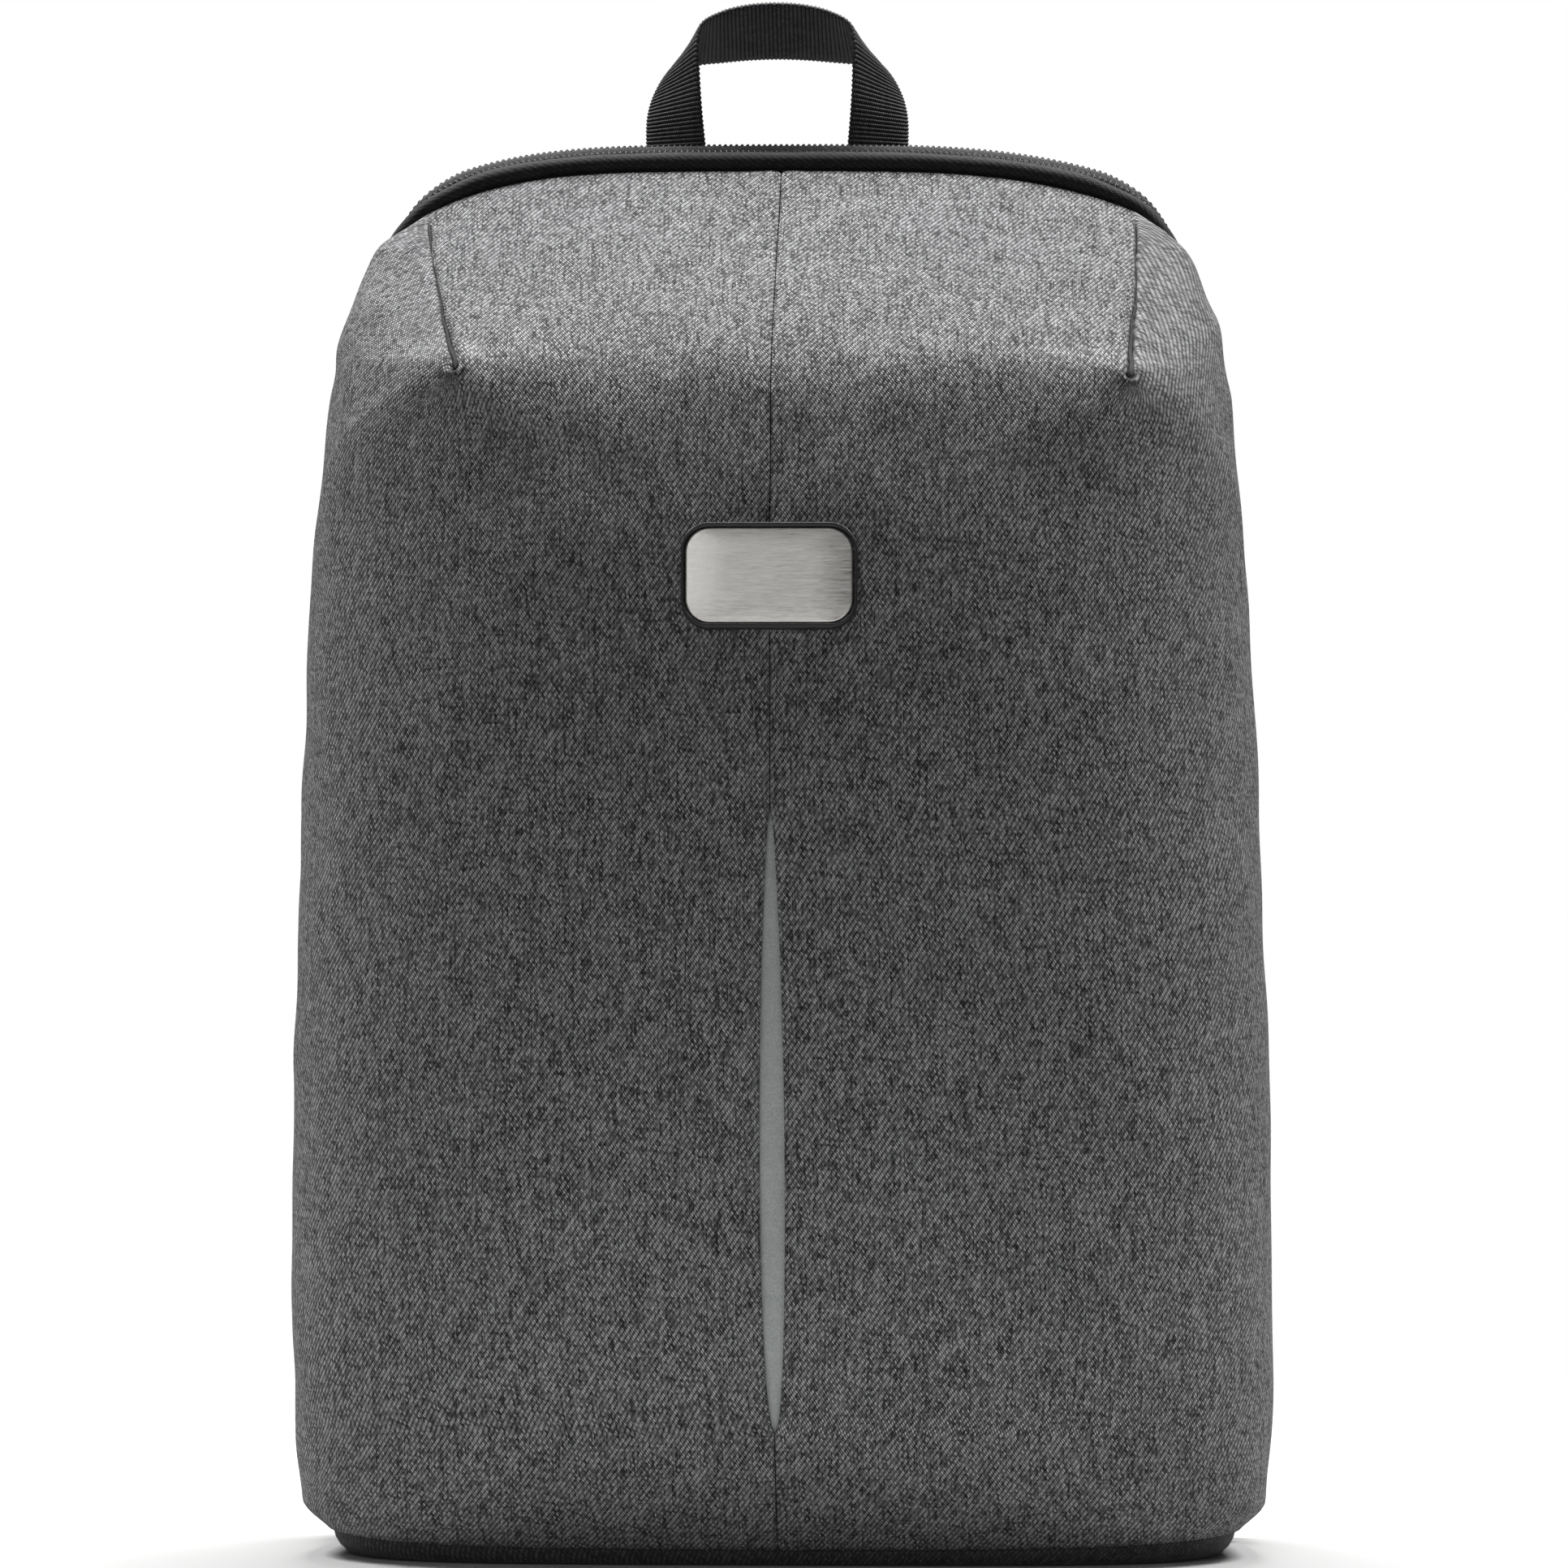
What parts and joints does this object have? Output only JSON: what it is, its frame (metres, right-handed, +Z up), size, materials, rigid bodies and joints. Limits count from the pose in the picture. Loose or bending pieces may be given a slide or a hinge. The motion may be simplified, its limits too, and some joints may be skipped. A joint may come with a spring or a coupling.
{
  "type": "backpack",
  "caption": "Slim standing backpack of grey melange twill with a sloped darted top, piped rim zip, seam slit over a grey strip, bare metal badge, webbing handle and padded shoulder straps.",
  "frame": {"origin": "on the ground under the middle of the whole bag's box", "axes": "+Z up; the front with the centre seam faces -Y and the padded back +Y; +X is to the right as seen from the front"},
  "size_m": [0.289, 0.1712, 0.4623],
  "materials": {
    "grey_twill": "heathered grey twill",
    "reflective": "smooth grey reflective strip",
    "black_twill": "black twill",
    "black_webbing": "ribbed black webbing",
    "black_mesh": "black spacer mesh over foam",
    "black_plastic": "satin black plastic",
    "brushed_metal": "brushed along its length",
    "dark_metal": "dark satin metal"
  },
  "bodies": {
    "root": {"front_panel_left": "grey_twill", "front_panel_right": "grey_twill", "reflective_strip": "reflective", "badge_frame": "black_plastic", "badge_plate": "brushed_metal", "edge_piping": "black_twill", "zip_tape": "black_twill", "zip_coil": "black_plastic", "zip_slider": "dark_metal", "back_panel": "black_mesh", "base_panel": "black_twill", "carry_handle": "black_webbing", "shoulder_strap_left": "black_mesh", "shoulder_strap_right": "black_mesh", "strap_tab_left": "black_webbing", "strap_tab_right": "black_webbing", "strap_adjuster_left": "black_plastic", "strap_adjuster_right": "black_plastic", "strap_webbing_left": "black_webbing", "strap_webbing_right": "black_webbing"}
  },
  "joints": []
}
